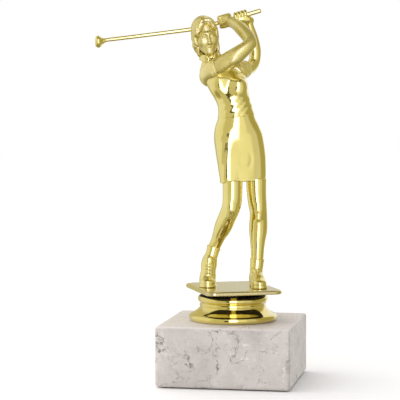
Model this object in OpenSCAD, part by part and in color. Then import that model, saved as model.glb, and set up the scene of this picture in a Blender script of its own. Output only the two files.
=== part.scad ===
// Figure trophy: a metallised golfer on a turned riser, clamped to a stone block by one tie rod.
// Frame: +Z up, origin on the floor under the middle of the block, front of the block at -Y.

/* [Block] */
// Width of the stone block
block_w = 70; // [64:1:90]
// Depth of the stone block
block_d = 70; // [64:1:90]
// Height of the stone block
block_h = 31.4; // [28:0.2:45]
// Bevel on every edge of the block
block_bevel = 1.2; // [0.6:0.1:2]
// Radius of the counterbore under the block
pocket_r = 13; // [11:0.5:16]
// Depth of the counterbore under the block
pocket_depth = 12; // [10:0.5:16]

/* [Felt] */
// Thickness of the felt sheet glued under the block
felt_t = 0.6; // [0.4:0.1:2]
// Distance of the felt's edge from the block's sides
felt_inset = 2.5; // [1.5:0.5:6]

/* [Tie rod] */
// Nominal thread diameter
thread_d = 6; // [5.8:0.1:6.2]
// Nut width across flats
nut_af = 10; // [9.8:0.1:10.2]
// Nut height
nut_h = 5; // [4:0.1:5.2]
// Washer radius
washer_r = 9; // [8:0.5:10]
// Washer thickness
washer_t = 1.6; // [1:0.1:2]

/* [Riser] */
// Radius of the riser's foot
riser_r = 23.3; // [22:0.1:26]
// Height of the riser
riser_h = 13.4; // [13:0.1:14]
// Wall of the riser's shell
riser_wall = 1.6; // [1.2:0.1:2]

/* [Platform] */
// Short side of the platform
plate_w = 41; // [36:0.5:44]
// Long side of the platform
plate_d = 50; // [46:0.5:54]
// Thickness of the platform's rim
plate_t = 2.2; // [2:0.1:3]
// Shadow gap between the riser and the platform
plate_gap = 2.1; // [1.5:0.1:2.4]
// Turn of the platform against the figure
plate_turn = 14.5; // [0:0.5:30]

/* [Figure] */
// Turn of the figure against the block
figure_turn = 10.5; // [-20:0.5:20]
// Sides of a limb's section
limb_sides = 20; // [12:2:24]

/* [Hidden] */
$fn = 64;

block_top = felt_t + block_h;
pocket_top = felt_t + pocket_depth;
riser_top = block_top + riser_h;
plate_bottom = riser_top + plate_gap;
plate_top = plate_bottom + plate_t;
rod_r = thread_d / 2 - 0.05;
thread_r = thread_d / 2;
clear_r = thread_r + 0.5;

// The recess in the riser's top holds the platform's boss, and its hole holds the spigot.
recess_r = 15.2;
recess_floor = riser_top - 1.2;
deck_t = 1.8;
boss_r = 14.9;
spigot_r = 8;
spigot_bottom = recess_floor - deck_t - 1.4;
slack = 0.3;
gold = [0.80, 0.69, 0.30];
steel = [0.72, 0.73, 0.75];

// ---- lofts ----
// A station is [x, y, z, half width, half depth]; a loft passes smoothly through its stations.
function unit(v) = v / norm(v);
function place(s) = [s[0], s[1], s[2]];
function spline(a, b, c, d, t) =
    0.5 * (2 * b + (c - a) * t + (2 * a - 5 * b + 4 * c - d) * t * t
    + (3 * b - a - 3 * c + d) * t * t * t);
function smooth(s, steps) = let (n = len(s) - 1) [
    for (i = [0:n - 1]) for (k = [0:steps - 1])
        spline(s[max(i - 1, 0)], s[i], s[i + 1], s[min(i + 2, n)], k / steps),
    s[n]];
function heading(s, i) = unit(place(s[min(i + 1, len(s) - 1)]) - place(s[max(i - 1, 0)]));
function ring(s, dir, ref, sides) =
    let (deep = unit(ref - (ref * dir) * dir), wide = cross(deep, dir))
    [for (k = [0:sides - 1]) let (a = 360 * k / sides)
        place(s) + s[3] * cos(a) * wide + s[4] * sin(a) * deep];

// level keeps every section horizontal. first and last are the normals of the end sections.
module loft(stations, steps = 3, ref = [0, 1, 0], level = false,
        first = undef, last = undef, sides = limb_sides) {
    s = smooth(stations, steps);
    n = len(s);
    points = [for (i = [0:n - 1])
        let (dir = i == 0 && !is_undef(first) ? unit(first)
            : i == n - 1 && !is_undef(last) ? unit(last)
            : level ? [0, 0, 1] : heading(s, i))
        each ring(s[i], dir, ref, sides)];
    walls = [for (i = [0:n - 2]) for (k = [0:sides - 1])
        let (m = (k + 1) % sides)
        [i * sides + k, (i + 1) * sides + k, (i + 1) * sides + m, i * sides + m]];
    polyhedron(points, concat([[for (k = [0:sides - 1]) k]], walls,
        [[for (k = [0:sides - 1]) n * sides - 1 - k]]));
}

// The figure stands on the platform and is turned against the block.
module on_platform() {
    translate([0, 0, plate_top]) rotate([0, 0, figure_turn]) children();
}

// ---- block, felt and fasteners ----
module bevelled_square(w, d, bevel) {
    x = w / 2;
    y = d / 2;
    polygon([[-x + bevel, -y], [x - bevel, -y], [x, -y + bevel], [x, y - bevel],
        [x - bevel, y], [-x + bevel, y], [-x, y - bevel], [-x, -y + bevel]]);
}

module marble_block() {
    color([0.84, 0.81, 0.79])
    translate([0, 0, felt_t])
    difference() {
        intersection() {
            linear_extrude(block_h) bevelled_square(block_w, block_d, block_bevel);
            translate([0, block_d / 2, block_h / 2]) rotate([90, 0, 0])
                linear_extrude(block_d) bevelled_square(block_w, block_h, block_bevel);
            translate([-block_w / 2, 0, block_h / 2]) rotate([90, 0, 90])
                linear_extrude(block_w) bevelled_square(block_d, block_h, block_bevel);
        }
        translate([0, 0, -1]) cylinder(r = clear_r, h = block_h + 2);
        translate([0, 0, -1]) cylinder(r = pocket_r, h = pocket_depth + 1);
    }
}

module felt_sheet() {
    color([0.12, 0.12, 0.13])
    linear_extrude(felt_t)
        bevelled_square(block_w - 2 * felt_inset, block_d - 2 * felt_inset, 2);
}

module tie_rod() {
    bottom = pocket_top - washer_t - nut_h - 2;
    top = plate_bottom;
    tip = 0.6;
    color(steel)
    rotate_extrude() polygon([[0, bottom], [rod_r - tip, bottom], [rod_r, bottom + tip],
        [rod_r, top - tip], [rod_r - tip, top], [0, top]]);
}

module hex_nut(bottom) {
    chamfer = 0.5;
    corner_r = nut_af / 2 / cos(30);
    color(steel)
    translate([0, 0, bottom])
    difference() {
        intersection() {
            cylinder(r = corner_r, h = nut_h, $fn = 6);
            rotate_extrude() polygon([[0, 0], [nut_af / 2, 0], [corner_r, chamfer],
                [corner_r, nut_h - chamfer], [nut_af / 2, nut_h], [0, nut_h]]);
        }
        translate([0, 0, -1]) cylinder(r = thread_r, h = nut_h + 2);
    }
}

module base_washer() {
    color(steel)
    translate([0, 0, pocket_top - washer_t])
    difference() {
        cylinder(r = washer_r, h = washer_t);
        translate([0, 0, -1]) cylinder(r = thread_r + 0.2, h = washer_t + 2);
    }
}

module base_nut() hex_nut(pocket_top - washer_t - nut_h);

module captive_nut() hex_nut(spigot_bottom + 0.2);

// ---- riser ----
// Right-hand half of the turned outline, from the foot up.
cove_r = 17.2;
riser_outline = [
    [riser_r - 0.9, 0], [riser_r, 0.9], [riser_r, 2.1], [riser_r - 0.5, 2.9],
    for (a = [0:15:75]) [cove_r + 5.3 * (1 - sin(a)), 3.2 + 4.1 * (1 - cos(a))],
    [cove_r, 7.3], [18.0, 7.8], [18.0, 8.8], [17.2, 9.3], [17.3, 10.1],
    [18.3, 10.8], [18.6, 11.6], [18.4, 12.6], [17.6, riser_h]];

module riser() {
    tube_r = 10.4;
    rib_t = 1.2;
    rib_turn = 15;
    rib_top = recess_floor - deck_t - block_top;
    foot_r = riser_r - 1.1 - riser_wall;
    neck_r = cove_r - 0.4 - riser_wall;
    color(gold)
    translate([0, 0, block_top]) {
        difference() {
            rotate_extrude() polygon(concat([[0, 0]], riser_outline, [[0, riser_h]]));
            translate([0, 0, recess_floor - block_top]) cylinder(r = recess_r, h = 3);
            translate([0, 0, -1]) cylinder(r = spigot_r + slack, h = riser_h + 2);
            difference() {
                translate([0, 0, -0.01]) rotate_extrude()
                    polygon([[0, 0], [foot_r, 0], [foot_r, 2.4], [neck_r, 6.6], [neck_r, rib_top],
                        [0, rib_top]]);
                cylinder(r = tube_r, h = riser_h);
                for (a = [0:60:300]) rotate([0, 0, a + rib_turn])
                    translate([tube_r - 1, -rib_t / 2, -0.5]) cube([12, rib_t, riser_h]);
            }
        }
    }
}

// ---- platform ----
module rounded_plan(w, d, r) {
    for (sx = [-1, 1]) for (sy = [-1, 1])
        translate([sx * (w / 2 - r), sy * (d / 2 - r)]) circle(r);
    square([w, d - 2 * r], center = true);
    square([w - 2 * r, d], center = true);
}

module platform() {
    corner = 3;
    step = 0.7;
    rod_room = plate_bottom - spigot_bottom + 0.4;
    hex_r = nut_af / 2 / cos(30) + 0.1;
    color(gold)
    rotate([0, 0, figure_turn])
    difference() {
        union() {
            rotate([0, 0, plate_turn]) {
                translate([0, 0, plate_bottom]) linear_extrude(plate_t - step)
                    rounded_plan(plate_w, plate_d, corner);
                translate([0, 0, plate_bottom + 0.2]) linear_extrude(plate_t - 0.2)
                    rounded_plan(plate_w - 2 * step, plate_d - 2 * step, corner - step);
            }
            translate([0, 0, recess_floor]) cylinder(r = boss_r, h = plate_bottom - recess_floor + 0.5);
            translate([0, 0, spigot_bottom]) cylinder(r = spigot_r, h = plate_bottom - spigot_bottom);
        }
        translate([0, 0, spigot_bottom - 1]) cylinder(r = hex_r, h = nut_h + 1.3, $fn = 6);
        translate([0, 0, spigot_bottom]) cylinder(r = thread_r + 0.2, h = rod_room);
    }
}

// ---- legs and feet ----
// The skirt's hem lies in this plane, and the legs end on it.
hem = [5.4, -1.0, 55.9];
hem_normal = [-0.06, 0, 1];
function hem_z(x) = hem[2] + 0.06 * (x - hem[0]);

module left_shoe_form() loft([[11.2, 7.4, 2.4, 1.2, 1.6], [11.5, 5.8, 3.7, 3.2, 3.6],
    [12.1, 1.6, 5.2, 3.7, 5.1], [12.9, -3.2, 4.2, 3.9, 4.1], [13.7, -8.6, 2.8, 4.7, 2.7],
    [14.2, -12.6, 2.2, 4.2, 2.1], [14.5, -15.0, 1.6, 2.2, 1.3]], ref = [0, 0, 1]);

module right_shoe_form() loft([[-13.5, -7.0, 0.6, 1.8, 1.2], [-13.5, -6.0, 1.9, 3.9, 3.0],
    [-13.4, -3.6, 5.2, 4.3, 3.6], [-12.9, 0.0, 9.6, 4.0, 4.2], [-12.2, 2.8, 13.4, 3.8, 5.0],
    [-11.6, 3.4, 16.2, 3.4, 4.2]]);

module left_shoe() color(gold) on_platform() difference() {
    left_shoe_form();
    translate([0, -30, -10]) cube([30, 60, 10]);
}

module right_shoe() color(gold) on_platform() difference() {
    right_shoe_form();
    translate([-30, -30, -10]) cube([30, 60, 10]);
}

module left_sock() color(gold) on_platform() difference() {
    loft([[12.2, 1.4, 7.6, 3.4, 3.4], [12.7, 1.2, 11.6, 3.6, 3.7], [12.9, 1.4, 14.4, 3.8, 3.9]],
        level = true);
    left_shoe_form();
}

module right_sock() color(gold) on_platform() difference() {
    loft([[-11.9, 3.0, 14.0, 3.2, 3.4], [-11.0, 3.6, 17.6, 3.5, 3.7], [-10.0, 3.2, 20.6, 3.7, 3.9]],
        level = true);
    right_shoe_form();
}

module left_leg() color(gold) on_platform()
    loft([[12.9, 1.4, 14.4, 3.4, 3.5], [13.0, 1.8, 20.0, 3.7, 3.9], [13.3, 1.8, 27.0, 4.5, 4.9],
        [13.5, 1.2, 33.3, 4.8, 5.2], [13.3, 0.0, 40.0, 4.8, 4.8], [12.6, -0.4, 46.2, 5.0, 5.2],
        [12.2, -0.6, hem_z(12.2), 5.1, 5.8]], steps = 4, level = true, last = hem_normal);

module right_leg() color(gold) on_platform()
    loft([[-10.0, 3.2, 20.6, 3.4, 3.6], [-8.5, 2.0, 24.0, 3.5, 4.2], [-5.9, -1.4, 30.3, 4.5, 5.2],
        [-3.6, -4.6, 35.6, 5.0, 5.6], [-1.6, -7.4, 41.2, 5.1, 5.4], [-0.5, -6.8, 46.5, 5.2, 5.6],
        [-0.4, -4.6, hem_z(-0.4), 5.3, 6.0]], steps = 4, level = true, last = hem_normal);

// ---- clothes and body ----
module skirt() color(gold) on_platform()
    loft([[hem[0], hem[1], hem[2], 11.8, 10.4], [4.8, -0.8, 60.0, 12.3, 10.8],
        [4.2, -0.4, 65.2, 12.5, 11.0], [3.4, 0.2, 71.5, 12.9, 10.9], [2.6, 0.3, 77.8, 13.1, 10.2],
        [2.3, -0.2, 82.0, 12.6, 9.2], [2.1, -0.6, 85.2, 11.8, 8.4], [1.8, -0.7, 89.3, 9.9, 7.6]],
        level = true, first = hem_normal, sides = 28);

module shirt_form() loft([[1.8, -0.7, 89.3, 9.8, 7.5], [1.4, -0.8, 92.0, 9.4, 7.4],
    [0.8, -0.8, 95.5, 9.2, 7.7], [-0.5, -1.0, 99.9, 9.3, 8.8], [-2.3, -1.0, 104.4, 10.2, 9.2],
    [-4.0, 0.2, 109.4, 11.4, 8.4], [-6.2, 1.2, 113.2, 10.9, 6.6], [-9.2, 1.2, 116.2, 8.2, 5.2],
    [-12.3, 1.2, 118.0, 4.8, 4.4]], level = true, last = [-0.12, 0, 1], sides = 28);

module shirt() color(gold) on_platform() shirt_form();

// The sleeves end, and the bare arms begin, at faces with these normals.
sleeve_end_right = [0.9, -0.35, 0.25];
sleeve_end_left = [0.55, 0.8, 0.1];

module right_sleeve() color(gold) on_platform() difference() {
    loft([[-14.6, 1.0, 112.4, 2.4, 2.4], [-13.2, 0.0, 112.8, 4.8, 4.8], [-10.6, -2.0, 113.6, 5.7, 5.4],
        [-7.8, -3.8, 115.4, 5.7, 5.4]], last = sleeve_end_right);
    shirt_form();
}

module left_sleeve() color(gold) on_platform() difference() {
    loft([[0.6, 2.6, 112.8, 3.2, 3.2], [3.2, 4.8, 113.8, 4.5, 4.1], [6.4, 8.2, 114.8, 4.5, 4.1]],
        last = sleeve_end_left);
    shirt_form();
}

module collar_form() translate([-12.0, 0.9, 118.0]) rotate([8, -10, 0])
    difference() {
        rotate_extrude()
            polygon([[3.8, -1.5], [6.4, -1.5], [6.6, -0.6], [5.2, 3.0], [4.7, 3.3], [3.8, 2.6]]);
        translate([1.2, -7, 2.2]) rotate([0, 45, 0]) cube([5, 8, 5], center = true);
    }

module collar() color(gold) on_platform() difference() {
    collar_form();
    shirt_form();
    head_form();
}

module head_form() loft([[-12.3, 1.0, 118.1, 3.4, 3.5], [-12.2, 0.8, 120.4, 3.4, 3.6],
    [-11.6, -1.2, 122.8, 3.4, 4.9], [-11.9, -1.6, 125.4, 4.9, 6.7], [-13.0, -0.8, 130.4, 6.0, 7.8],
    [-14.6, -0.2, 136.0, 6.1, 7.4], [-15.5, 0.2, 139.6, 4.6, 5.6], [-15.8, 0.3, 141.2, 1.6, 2.2]],
    level = true);

module head() color(gold) on_platform() head_form();

module hair() color(gold) on_platform() difference() {
    loft([[-12.8, 5.6, 119.6, 4.0, 2.2], [-13.2, 5.4, 121.4, 6.0, 3.6], [-13.9, 5.0, 125.0, 7.2, 5.4],
        [-14.6, 4.4, 130.0, 7.3, 6.9], [-15.2, 2.4, 135.6, 7.2, 8.9], [-15.7, 1.4, 139.6, 6.0, 8.0],
        [-15.8, 1.2, 142.2, 2.2, 3.0]], level = true, sides = 24);
    head_form();
    collar_form();
}

// ---- arms and hands ----
module right_hand_form() grip_wrap([-4.3, 11.7, 140.9], 1.8, [3.2, 3.2]);

module left_hand_form() grip_wrap([4.7, 12.0, 143.4], 1.9, [2.6, 2.9]);

// Four fingers side by side round the grip: each is a crest between two grooves.
finger_swell = [0.45, 0.8, 1, 0.88, 1, 0.88, 1, 0.88, 1, 0.8, 0.45];
finger_place = [-2.2, -2, -1.5, -1, -0.5, 0, 0.5, 1, 1.5, 2, 2.2];

module grip_wrap(middle, pitch, size) {
    rise = 0.3;
    loft([for (i = [0:len(finger_swell) - 1])
        let (along = finger_place[i] * pitch, swell = finger_swell[i])
        [middle[0] + along, middle[1], middle[2] + along * rise, size[0] * swell, size[1] * swell]],
        steps = 2);
}

module right_arm() color(gold) on_platform() difference() {
    loft([[-7.8, -3.8, 115.4, 5.3, 5.1], [-3.4, -6.2, 118.6, 5.0, 4.8], [2.2, -7.8, 122.6, 4.3, 4.2],
        [6.8, -7.4, 125.8, 3.7, 3.7], [8.8, -5.8, 128.4, 3.3, 3.5], [7.8, -3.2, 131.6, 3.4, 3.4],
        [4.8, 1.2, 135.2, 3.6, 3.3], [1.6, 5.4, 138.2, 3.2, 3.0], [-1.6, 9.4, 140.2, 2.6, 2.4]],
        first = sleeve_end_right);
    right_hand_form();
}

module left_arm() color(gold) on_platform() difference() {
    loft([[6.4, 8.2, 114.8, 4.2, 3.8], [8.8, 11.6, 115.6, 3.6, 3.4], [10.8, 14.6, 117.4, 3.2, 3.1],
        [11.8, 16.2, 120.2, 3.0, 3.0], [12.0, 16.0, 124.0, 3.1, 3.1], [11.0, 14.8, 129.4, 3.0, 2.9],
        [9.4, 13.4, 135.0, 2.6, 2.5], [6.9, 12.2, 141.0, 2.3, 2.3]], first = sleeve_end_left);
    left_hand_form();
}

module right_hand() color(gold) on_platform() difference() {
    right_hand_form();
    grip_form();
}

module left_hand() color(gold) on_platform() difference() {
    left_hand_form();
    grip_form();
}

// ---- club ----
// The club's line bends behind the head. It starts at the butt of the grip.
club_line = [[14.9, 12.0, 146.0], [4.3, 12.0, 142.9], [-7.6, 12.2, 139.5], [-14.5, 12.6, 137.6],
    [-21.9, 13.0, 136.1], [-49.0, 14.0, 132.7], [-68.5, 15.0, 130.4]];
grip_r = 1.3;
shaft_r = 0.95;

module club_run(from, to, r)
    loft([for (i = [from:to]) [each club_line[i], r, r]], steps = 4, sides = 16);

module grip_form() club_run(0, 2, grip_r);

module club_grip() color(gold) on_platform() grip_form();

module club_shaft() color(gold) on_platform() club_run(2, 6, shaft_r);

module club_head() color(gold) on_platform()
    loft([[-68.5, 15.0, 130.4, 1.2, 1.2], [-69.9, 15.0, 130.2, 1.8, 2.0], [-71.2, 14.8, 129.9, 2.8, 3.3],
        [-72.2, 14.7, 129.6, 3.2, 3.8], [-73.2, 14.6, 129.4, 3.1, 3.7], [-73.9, 14.6, 129.3, 2.0, 2.4]]);

marble_block();
felt_sheet();
tie_rod();
base_washer();
base_nut();
riser();
platform();
captive_nut();
left_shoe();
right_shoe();
left_sock();
right_sock();
left_leg();
right_leg();
skirt();
shirt();
right_sleeve();
left_sleeve();
collar();
head();
hair();
left_arm();
right_arm();
left_hand();
right_hand();
club_shaft();
club_grip();
club_head();
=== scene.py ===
import math
from types import SimpleNamespace

import bmesh
import bpy
import numpy as np
import openvdb
from mathutils import Euler, Matrix, Vector


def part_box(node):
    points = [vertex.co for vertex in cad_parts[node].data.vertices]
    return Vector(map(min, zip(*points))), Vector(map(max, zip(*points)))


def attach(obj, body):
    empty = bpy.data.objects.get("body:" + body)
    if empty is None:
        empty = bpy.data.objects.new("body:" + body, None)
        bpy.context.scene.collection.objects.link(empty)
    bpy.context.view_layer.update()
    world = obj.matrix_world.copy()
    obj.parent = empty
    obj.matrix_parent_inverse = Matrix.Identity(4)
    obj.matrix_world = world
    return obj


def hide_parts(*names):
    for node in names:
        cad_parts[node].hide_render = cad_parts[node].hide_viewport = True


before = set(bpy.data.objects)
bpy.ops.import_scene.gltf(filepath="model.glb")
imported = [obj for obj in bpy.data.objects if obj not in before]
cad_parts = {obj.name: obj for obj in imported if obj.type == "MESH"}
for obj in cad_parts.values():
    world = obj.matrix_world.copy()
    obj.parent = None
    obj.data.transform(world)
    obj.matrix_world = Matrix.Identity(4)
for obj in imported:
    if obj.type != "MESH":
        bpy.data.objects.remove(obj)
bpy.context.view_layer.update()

# ---------------------------------------------------------------- frame and camera
MM = 0.001
FIGURE_TURN = math.radians(10.5)
PLATE_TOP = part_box("platform")[1][2]
BLOCK_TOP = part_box("marble_block")[1][2]
FIGURE = Matrix.Translation((0, 0, PLATE_TOP)) @ Matrix.Rotation(FIGURE_TURN, 4, "Z") @ Matrix.Scale(MM, 4)
COARSE = 1.0

CAMERA_AZIMUTH = math.radians(10.5)
CAMERA_ELEVATION = math.radians(3.4)
CAMERA_DISTANCE = 0.894
CAMERA_TARGET = Vector((-0.0178, 0, 0.0953))
CAMERA_LENS = 151.8


def make_camera():
    a, e = CAMERA_AZIMUTH, CAMERA_ELEVATION
    back = Vector((math.sin(a) * math.cos(e), -math.cos(a) * math.cos(e), math.sin(e)))
    data = bpy.data.cameras.new("camera")
    data.lens = CAMERA_LENS
    data.sensor_width = 36
    data.clip_start, data.clip_end = 0.01, 20
    cam = bpy.data.objects.new("camera", data)
    cam.rotation_mode = "QUATERNION"
    cam.location = CAMERA_TARGET + back * CAMERA_DISTANCE
    cam.rotation_quaternion = (-back).to_track_quat("-Z", "Y")
    bpy.context.collection.objects.link(cam)
    bpy.context.scene.camera = cam


# ---------------------------------------------------------------- materials
def tree(name):
    """A new material, its node tree, its surface shader and its object coordinates."""
    m = bpy.data.materials.new(name)
    m.use_nodes = True
    t = m.node_tree
    return m, t, t.nodes["Principled BSDF"], node(t, "ShaderNodeTexCoord").outputs["Object"]


def settle(n, **values):
    """Sets a node's own settings and the values of its inputs."""
    for key, v in values.items():
        if hasattr(n, key):
            setattr(n, key, v)
        else:
            n.inputs[key.replace("_", " ")].default_value = v
    return n


def node(t, kind, **values):
    return settle(t.nodes.new(kind), **values)


def feed(t, socket, v):
    """Gives an input a number, a colour or another node's output."""
    if isinstance(v, (int, float)):
        socket.default_value = v
    elif isinstance(v, tuple):
        socket.default_value = (*v, 1)
    else:
        t.links.new(v, socket)


def vector(t, op, a, b):
    n = node(t, "ShaderNodeVectorMath", operation=op)
    t.links.new(a, n.inputs[0])
    n.inputs[1].default_value = b
    return n


def split(t, v):
    n = node(t, "ShaderNodeSeparateXYZ")
    t.links.new(v, n.inputs[0])
    return n


def noise(t, co, scale, detail=4.0, rough=0.55, distort=0.0):
    n = node(t, "ShaderNodeTexNoise", Scale=scale, Detail=detail, Roughness=rough, Distortion=distort)
    t.links.new(co, n.inputs["Vector"])
    return n.outputs["Fac"]


def ramp(t, fac, stops):
    n = node(t, "ShaderNodeValToRGB")
    while len(n.color_ramp.elements) < len(stops):
        n.color_ramp.elements.new(0.5)
    for e, (p, c) in zip(n.color_ramp.elements, stops):
        e.position = p
        e.color = (*c, 1) if len(c) == 3 else c
    t.links.new(fac, n.inputs["Fac"])
    return n.outputs["Color"]


def mapped(t, fac, a, b, lo, hi):
    n = node(t, "ShaderNodeMapRange")
    for k, v in zip(("From Min", "From Max", "To Min", "To Max"), (a, b, lo, hi)):
        n.inputs[k].default_value = v
    t.links.new(fac, n.inputs["Value"])
    return n.outputs["Result"]


def mix(t, fac, a, b, mode="MIX"):
    n = node(t, "ShaderNodeMix", data_type="RGBA", blend_type=mode)
    for key, v in (("Factor", fac), ("A", a), ("B", b)):
        feed(t, n.inputs[key], v)
    return n.outputs["Result"]


def maths(t, op, a, b=0.0):
    n = node(t, "ShaderNodeMath", operation=op)
    feed(t, n.inputs[0], a)
    feed(t, n.inputs[1], b)
    return n.outputs["Value"]


def bump(t, height, strength, distance, under=None):
    n = node(t, "ShaderNodeBump", Strength=strength, Distance=distance)
    t.links.new(height, n.inputs["Height"])
    if under:
        t.links.new(under, n.inputs["Normal"])
    return n.outputs["Normal"]


def surface(t, b, color, rough, normal):
    for value, socket in ((color, "Base Color"), (rough, "Roughness"), (normal, "Normal")):
        t.links.new(value, b.inputs[socket])


def gold(name, rough=0.13, deep=(0.77, 0.63, 0.12), pale=(0.89, 0.78, 0.24), grain=0.0, strand=0.0):
    """Vacuum-metallised gold under a clear lacquer: cloudy tint, faint orange peel, fine dust. grain roughens
    it all over, strand draws it out upwards like combed hair, and it is duller high on the figure."""
    m, t, b, co = tree(name)
    cloud = noise(t, co, 55, 3)
    fine = noise(t, co, 900, 4, 0.6)
    tint = mapped(t, cloud, 0.3, 0.7, 0.25, 1.0)
    color = mix(t, tint, deep, pale)
    specks = mapped(t, noise(t, co, 2600, 2, 0.5), 0.66, 0.72, 0.0, 0.2)
    worn = mapped(t, split(t, co).outputs["Z"], 0.150, 0.166, 1.0, 1.9)
    peel = noise(t, co, 420, 2, 0.5)
    n = bump(t, peel, 0.12, 0.00012)
    if grain:
        n = bump(t, noise(t, co, 3200, 3, 0.7), grain, 0.0001, n)
    if strand:
        drawn = vector(t, "MULTIPLY", co, (1.0, 1.0, 0.22))
        n = bump(t, noise(t, drawn.outputs["Vector"], 1300, 3, 0.6, 0.6), strand, 0.0004, n)
    surface(t, b, mix(t, specks, color, (0.42, 0.30, 0.07)),
            maths(t, "MULTIPLY", mapped(t, fine, 0.3, 0.75, rough * 0.85, rough * 1.25), worn), n)
    settle(b, Metallic=1.0, Coat_Weight=1.0, Coat_Roughness=0.06, Coat_IOR=1.95)
    return m


def marble():
    """Pale greige marble: clouds, white flecks, broken dark cracks and fine pits, with painted light making
    its upward faces paler.
    """
    m, t, b, co = tree("marble")
    warp = node(t, "ShaderNodeTexNoise", Scale=90, Detail=6)
    t.links.new(co, warp.inputs["Vector"])
    shift = vector(t, "MULTIPLY_ADD", warp.outputs["Color"], (0.010, 0.010, 0.010))
    t.links.new(co, shift.inputs[2])
    bent = shift.outputs["Vector"]
    color = ramp(t, noise(t, bent, 48, 7, 0.62, 0.4),
                 [(0.28, (0.47, 0.430, 0.405)), (0.45, (0.575, 0.535, 0.505)), (0.60, (0.635, 0.595, 0.570)),
                  (0.75, (0.71, 0.675, 0.655))])
    busy = mapped(t, noise(t, co, 38, 2, 0.5), 0.42, 0.62, 0.0, 1.0)
    white = mapped(t, noise(t, bent, 260, 5, 0.7), 0.56, 0.66, 0.0, 0.8)
    color = mix(t, maths(t, "MULTIPLY", white, busy), color, (0.83, 0.80, 0.78))
    rough = mapped(t, noise(t, bent, 330, 5, 0.75), 0.60, 0.70, 0.0, 0.45)
    color = mix(t, maths(t, "MULTIPLY", rough, busy), color, (0.36, 0.33, 0.315))
    for scale, seed, width, gate, dark, strength in ((24, 0.0, 0.0075, 0.50, (0.10, 0.09, 0.09), 0.80),
                                                     (40, 3.7, 0.0085, 0.47, (0.20, 0.18, 0.175), 0.65),
                                                     (75, 8.1, 0.0120, 0.50, (0.30, 0.275, 0.26), 0.50)):
        moved = vector(t, "ADD", bent, (seed, seed, seed)).outputs["Vector"]
        wander = noise(t, moved, scale, 9, 0.58, 0.25)
        off = maths(t, "ABSOLUTE", maths(t, "SUBTRACT", wander, 0.5))
        line = mapped(t, off, width * 0.35, width, 1.0, 0.0)
        part = mapped(t, noise(t, moved, scale * 1.9, 2, 0.5), gate, gate + 0.08, 0.0, 1.0)
        broken = mapped(t, noise(t, co, 700, 3, 0.7), 0.40, 0.52, 0.15, 1.0)
        hit = maths(t, "MULTIPLY", maths(t, "MULTIPLY", line, part), broken)
        color = mix(t, maths(t, "MULTIPLY", hit, strength), color, dark)
    pits = mapped(t, noise(t, co, 1500, 2, 0.6), 0.62, 0.70, 0.0, 0.40)
    color = mix(t, pits, color, (0.36, 0.33, 0.31))
    # painted light: faces that look up are paled, standing in for light from above
    up = split(t, node(t, "ShaderNodeNewGeometry").outputs["Normal"])
    color = mix(t, mapped(t, up.outputs["Z"], 0.3, 0.8, 0.0, 0.72), color, (0.78, 0.72, 0.715))
    surface(t, b, color, mapped(t, noise(t, co, 300, 4), 0.3, 0.7, 0.24, 0.40), bump(t, pits, 0.25, 0.0001))
    settle(b, Specular_IOR_Level=0.2)
    return m


def painted_shade_and_reflection():
    """Painted shade: a near-black finish laid where only shade falls, in the riser's recess and under the
    platform. On it lies a painted reflection, fixed to the object: a pale gold strip at the edge towards the
    camera's bearing."""
    m, t, b, co = tree("painted_shade_and_reflection")
    # painted shade: the near-black colour of the gap
    dark = ramp(t, noise(t, co, 500, 4), [(0.3, (0.010, 0.008, 0.006)), (0.7, (0.030, 0.024, 0.016))])
    # painted reflection: a pale gold strip across the front edge, which lightens the band the riser reflects
    c, s = math.cos(CAMERA_AZIMUTH), math.sin(CAMERA_AZIMUTH)
    across = vector(t, "DOT_PRODUCT", co, (c, s, 0)).outputs["Value"]
    outwards = vector(t, "DOT_PRODUCT", co, (s, -c, 0)).outputs["Value"]
    painted_reflection = mapped(t, maths(t, "ABSOLUTE", across), 1.1 * MM, 2.3 * MM, 1.0, 0.0)
    front = mapped(t, outwards, 13 * MM, 14.5 * MM, 0.0, 1.0)
    surface(t, b, mix(t, maths(t, "MULTIPLY", painted_reflection, front), dark, (0.95, 0.80, 0.25)),
            mapped(t, noise(t, co, 900, 3), 0.3, 0.7, 0.5, 0.8), bump(t, noise(t, co, 1500, 3), 0.2, 0.0001))
    return m


def felt():
    m, t, b, co = tree("felt")
    fibre = noise(t, co, 2500, 5, 0.8, 1.5)
    surface(t, b, ramp(t, fibre, [(0.3, (0.012, 0.012, 0.013)), (0.7, (0.05, 0.05, 0.053))]),
            mapped(t, fibre, 0.2, 0.8, 0.85, 1.0), bump(t, fibre, 0.6, 0.0002))
    settle(b, Sheen_Weight=0.4)
    return m


def zinc():
    m, t, b, co = tree("zinc_steel")
    cloud = noise(t, co, 260, 4, 0.6, 0.8)
    surface(t, b, ramp(t, cloud, [(0.3, (0.45, 0.46, 0.47)), (0.7, (0.66, 0.67, 0.67))]),
            mapped(t, noise(t, co, 1800, 3), 0.3, 0.7, 0.25, 0.45),
            bump(t, noise(t, co, 1200, 3), 0.15, 0.0001))
    settle(b, Metallic=1.0)
    return m


# ---------------------------------------------------------------- clay: distances on a voxel grid, in mm
def clay(lo, hi, step):
    step *= COARSE
    x, y, z = (np.arange(a, b + step, step, dtype=np.float32) for a, b in zip(lo, hi))
    return SimpleNamespace(lo=lo, step=step, x=x[:, None, None], y=y[None, :, None], z=z[None, None, :])


def turned(g, at, turn=(0, 0, 0)):
    """The grid's coordinates about a point, in axes turned by XYZ degrees."""
    x, y, z = g.x - at[0], g.y - at[1], g.z - at[2]
    if not any(turn):
        return x, y, z
    r = np.array(Euler([math.radians(v) for v in turn]).to_matrix(), dtype=np.float32).T
    return tuple(r[i][0] * x + r[i][1] * y + r[i][2] * z for i in range(3))


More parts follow.
